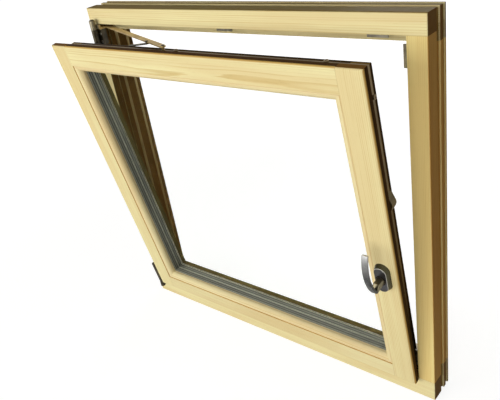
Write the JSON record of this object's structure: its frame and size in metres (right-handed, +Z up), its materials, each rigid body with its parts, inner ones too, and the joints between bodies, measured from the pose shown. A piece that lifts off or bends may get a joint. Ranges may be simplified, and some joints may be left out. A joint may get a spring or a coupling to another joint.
{
  "type": "tilt and turn window",
  "caption": "Pine tilt and turn window with one triple glazed sash that tilts in at the top or swings in like a door.",
  "frame": {"origin": "middle of the sill's underside, on its flat band at the room side", "axes": "+X to the right seen from the room, +Y from the room to the outside, +Z up"},
  "size_m": [0.864, 0.2159, 0.832],
  "materials": {
    "frame_pine": "clear satin varnish",
    "sash_pine": "clear satin varnish",
    "bead_pine": "clear satin varnish",
    "glass": "clear float glass",
    "spacer": "matt",
    "seal": "matt",
    "hardware_steel": "zinc plated",
    "hinge_bronze": "satin, dark bronze",
    "handle_grey": "anodised satin",
    "rail_aluminium": "anodised satin"
  },
  "bodies": {
    "frame": {"frame_head": "frame_pine", "frame_sill": "frame_pine", "frame_jamb_left": "frame_pine", "frame_jamb_right": "frame_pine", "rain_rail": "rail_aluminium", "striker_head_1": "hardware_steel", "striker_head_2": "hardware_steel", "striker_jamb_upper": "hardware_steel", "striker_jamb_lower": "hardware_steel", "striker_sill": "hardware_steel", "stay_bearing": "hardware_steel", "corner_bearing": "hinge_bronze"},
    "corner_pivot": {"corner_knuckle": "hinge_bronze"},
    "sash": {"sash_stile_left": "sash_pine", "sash_stile_right": "sash_pine", "sash_rail_top": "sash_pine", "sash_rail_bottom": "sash_pine", "bead_left": "bead_pine", "bead_right": "bead_pine", "bead_top": "bead_pine", "bead_bottom": "bead_pine", "glass_inner": "glass", "glass_middle": "glass", "glass_outer": "glass", "spacer_inner": "spacer", "spacer_middle": "spacer", "sash_seal": "seal", "faceplate_hinge_side": "hardware_steel", "faceplate_lock_side": "hardware_steel", "faceplate_top": "hardware_steel", "faceplate_bottom": "hardware_steel", "cam_top_1": "hardware_steel", "cam_top_2": "hardware_steel", "cam_lock_upper": "hardware_steel", "cam_lock_lower": "hardware_steel", "cam_bottom": "hardware_steel", "sash_lifter": "hardware_steel", "corner_hinge": "hinge_bronze", "handle_rosette": "handle_grey"},
    "handle": {"handle_lever": "handle_grey"},
    "stay": {"stay_arm": "hinge_bronze"},
    "stay_link": {"stay_lever": "hinge_bronze"}
  },
  "joints": [
    {"name": "sash_turn", "type": "hinge", "parent": "frame", "child": "corner_pivot", "pos_m": [-0.406, -0.029, 0.0465], "axis": [0, 0, -1], "range_deg": [0, 90]},
    {"name": "sash_tilt", "type": "hinge", "parent": "corner_pivot", "child": "sash", "pos_m": [-0.406, -0.029, 0.0465], "axis": [-1, 0, 0], "range_deg": [0, 9.5]},
    {"name": "handle_turn", "type": "hinge", "parent": "sash", "child": "handle", "pos_m": [0.367, -0.08674, 0.3552], "axis": [0, -0.9863, -0.165], "range_deg": [0, 180]},
    {"name": "stay_swing", "type": "hinge", "parent": "corner_pivot", "child": "stay", "pos_m": [-0.406, -0.029, 0.787], "axis": [0, 0, 1], "range_deg": [0, 20.15]},
    {"name": "stay_link_swing", "type": "hinge", "parent": "stay", "child": "stay_link", "pos_m": [-0.13604, -0.1033, 0.787], "axis": [0, 0, -1], "range_deg": [0, 63.1]}
  ],
  "couplings": [
    {"joint": "stay_swing", "follows": "sash_tilt", "ratio": 2.1201},
    {"joint": "stay_link_swing", "follows": "sash_tilt", "ratio": 6.6397}
  ]
}
